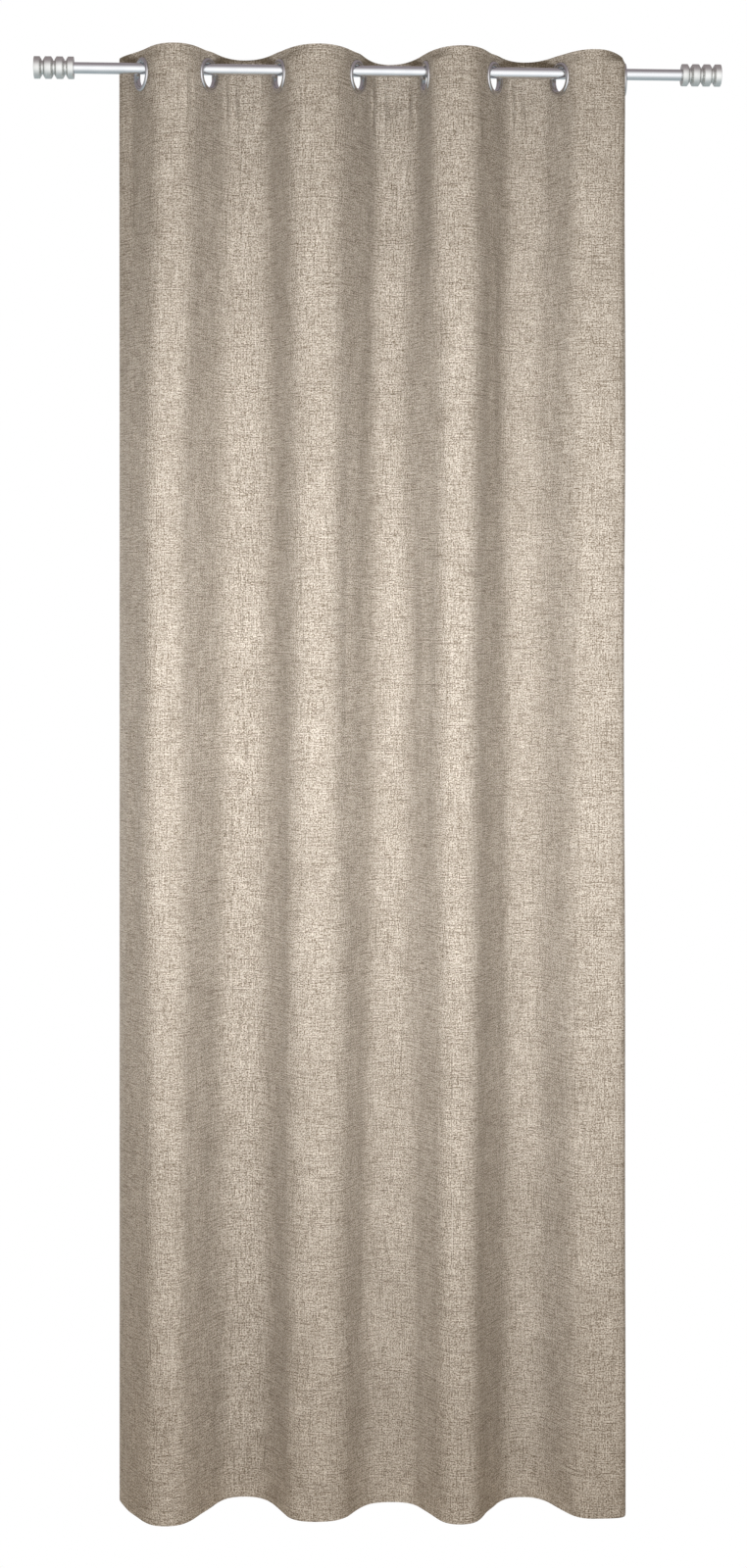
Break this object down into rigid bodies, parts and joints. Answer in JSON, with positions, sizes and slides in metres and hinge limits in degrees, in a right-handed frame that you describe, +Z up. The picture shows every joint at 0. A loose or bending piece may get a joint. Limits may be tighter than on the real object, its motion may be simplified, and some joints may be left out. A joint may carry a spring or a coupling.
{
  "type": "eyelet curtain on rod",
  "caption": "Eyelet curtain panel in linen-look cloth, hanging in deep folds from a round metal rod with ribbed finials.",
  "frame": {"origin": "on the rod's axis, midway along the rod", "axes": "+Z up, X along the rod, -Y towards the room"},
  "size_m": [1.156, 0.1437, 2.45],
  "materials": {
    "cloth": "matt linen-look weave with slubs",
    "tape": "stiff matt heading tape",
    "eyelet_metal": "bright polished plate",
    "rod_metal": "polished tube",
    "finial_metal": "satin turned aluminium",
    "screw_metal": "dark steel"
  },
  "bodies": {
    "rod": {"rod_tube": "rod_metal", "finial_left": "finial_metal", "finial_right": "finial_metal", "finial_screw_left": "screw_metal", "finial_screw_right": "screw_metal"},
    "fold_1": {"curtain_1": "cloth", "heading_tape_1": "tape", "eyelet_front_1": "eyelet_metal", "eyelet_back_1": "eyelet_metal"},
    "fold_2": {"curtain_2": "cloth", "heading_tape_2": "tape", "eyelet_front_2": "eyelet_metal", "eyelet_back_2": "eyelet_metal"},
    "fold_3": {"curtain_3": "cloth", "heading_tape_3": "tape", "eyelet_front_3": "eyelet_metal", "eyelet_back_3": "eyelet_metal"},
    "fold_4": {"curtain_4": "cloth", "heading_tape_4": "tape", "eyelet_front_4": "eyelet_metal", "eyelet_back_4": "eyelet_metal"},
    "fold_5": {"curtain_5": "cloth", "heading_tape_5": "tape", "eyelet_front_5": "eyelet_metal", "eyelet_back_5": "eyelet_metal"},
    "fold_6": {"curtain_6": "cloth", "heading_tape_6": "tape", "eyelet_front_6": "eyelet_metal", "eyelet_back_6": "eyelet_metal"},
    "fold_7": {"curtain_7": "cloth", "heading_tape_7": "tape", "eyelet_front_7": "eyelet_metal", "eyelet_back_7": "eyelet_metal"},
    "fold_8": {"curtain_8": "cloth", "heading_tape_8": "tape", "eyelet_front_8": "eyelet_metal", "eyelet_back_8": "eyelet_metal"}
  },
  "joints": [
    {"name": "curtain_draw", "type": "hinge", "parent": "rod", "child": "fold_1", "pos_m": [-0.3984, 0, 0], "axis": [0, 0, -1], "range_deg": [-5, 26]},
    {"name": "fold_bend_1", "type": "hinge", "parent": "fold_1", "child": "fold_2", "pos_m": [-0.34312, -0.06829, 0], "axis": [0, 0, 1], "range_deg": [-10, 52]},
    {"name": "fold_bend_2", "type": "hinge", "parent": "fold_2", "child": "fold_3", "pos_m": [-0.22827, 0.0625, 0], "axis": [0, 0, -1], "range_deg": [-10, 52]},
    {"name": "fold_bend_3", "type": "hinge", "parent": "fold_3", "child": "fold_4", "pos_m": [-0.10324, -0.05291, 0], "axis": [0, 0, 1], "range_deg": [-10, 52]},
    {"name": "fold_bend_4", "type": "hinge", "parent": "fold_4", "child": "fold_5", "pos_m": [0.02006, 0.06019, 0], "axis": [0, 0, -1], "range_deg": [-10, 52]},
    {"name": "fold_bend_5", "type": "hinge", "parent": "fold_5", "child": "fold_6", "pos_m": [0.13554, -0.06077, 0], "axis": [0, 0, 1], "range_deg": [-10, 52]},
    {"name": "fold_bend_6", "type": "hinge", "parent": "fold_6", "child": "fold_7", "pos_m": [0.24928, 0.06807, 0], "axis": [0, 0, -1], "range_deg": [-10, 52]},
    {"name": "fold_bend_7", "type": "hinge", "parent": "fold_7", "child": "fold_8", "pos_m": [0.35869, -0.06225, 0], "axis": [0, 0, 1], "range_deg": [-10, 52]}
  ],
  "couplings": [
    {"joint": "fold_bend_1", "follows": "curtain_draw", "ratio": 2},
    {"joint": "fold_bend_2", "follows": "curtain_draw", "ratio": 2},
    {"joint": "fold_bend_3", "follows": "curtain_draw", "ratio": 2},
    {"joint": "fold_bend_4", "follows": "curtain_draw", "ratio": 2},
    {"joint": "fold_bend_5", "follows": "curtain_draw", "ratio": 2},
    {"joint": "fold_bend_6", "follows": "curtain_draw", "ratio": 2},
    {"joint": "fold_bend_7", "follows": "curtain_draw", "ratio": 2}
  ]
}
